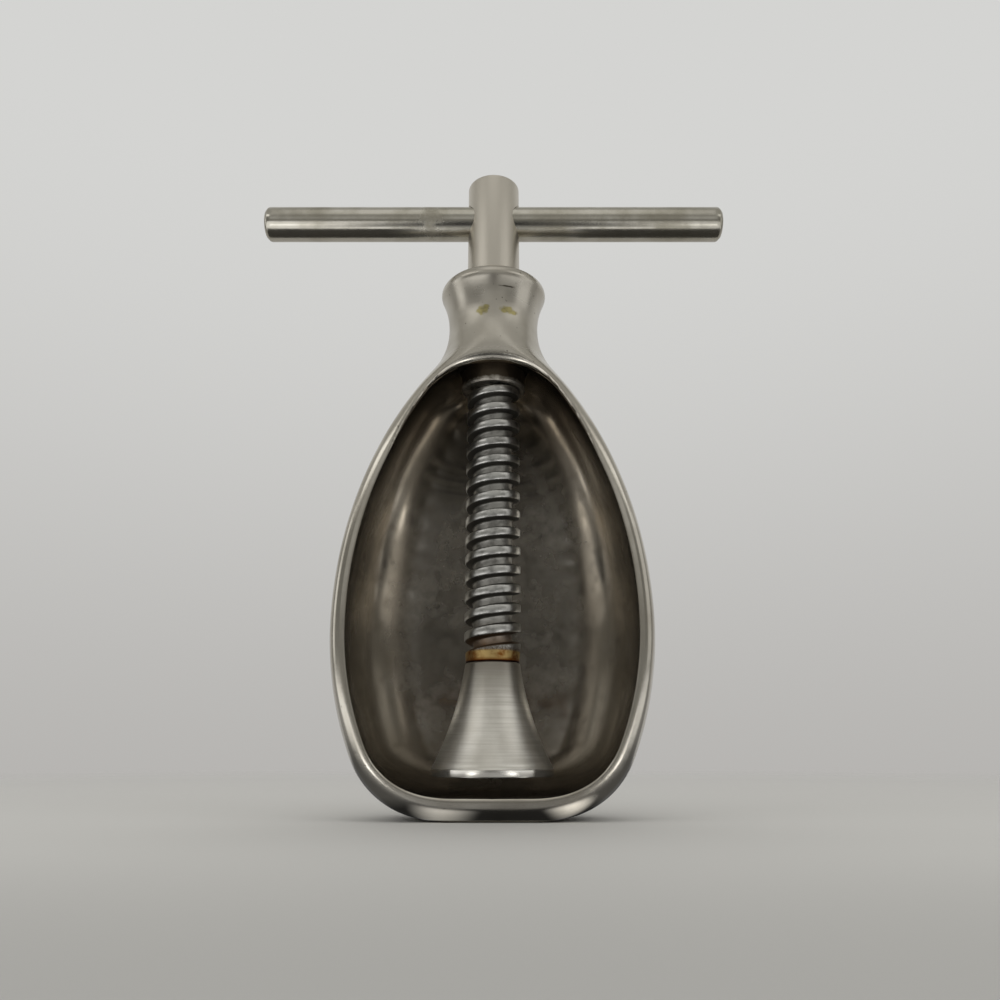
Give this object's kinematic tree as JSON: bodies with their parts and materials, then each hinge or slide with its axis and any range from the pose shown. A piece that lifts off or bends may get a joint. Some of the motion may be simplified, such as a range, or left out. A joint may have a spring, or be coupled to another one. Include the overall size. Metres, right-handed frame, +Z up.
{
  "type": "screw nutcracker",
  "caption": "Pear-shaped metal bowl with an open front; a coarse screw through its neck, turned by a T-bar, drives a flared foot down to crack a nut against the bowl's floor.",
  "frame": {"origin": "centre of the bowl's flat base, on the screw axis", "axes": "+Z up along the screw axis towards the handle bar, the bowl's open front faces -Y, and the handle bar lies along X at rest"},
  "size_m": [0.108, 0.037, 0.1425],
  "materials": {
    "nickel_plated_brass": "worn nickel plate, polished outside and tarnished inside",
    "bush_steel": "dull grey steel",
    "screw_steel": "cut thread, bright crests and dark grooves",
    "nickel_plated_bar": "nickel plate with handling marks",
    "turned_steel": "turned, fine rings",
    "washer_steel": "plain steel"
  },
  "bodies": {
    "frame": {"frame": "nickel_plated_brass", "thread_bush": "bush_steel"},
    "foot": {"pressure_foot": "turned_steel"},
    "screw": {"spindle": "screw_steel", "tommy_bar": "nickel_plated_bar", "foot_washer": "washer_steel"}
  },
  "joints": [
    {"name": "screw_travel", "type": "slide", "parent": "frame", "child": "foot", "axis": [0, 0, 1], "range_m": [-0.002, 0.054]},
    {"name": "handle_turn", "type": "hinge", "parent": "foot", "child": "screw", "pos_m": [0, 0, 0.1327], "axis": [0, 0, 1], "range_deg": [-180, 4860]}
  ],
  "couplings": [
    {"joint": "screw_travel", "follows": "handle_turn", "m_per_rad": 0.00063662}
  ]
}
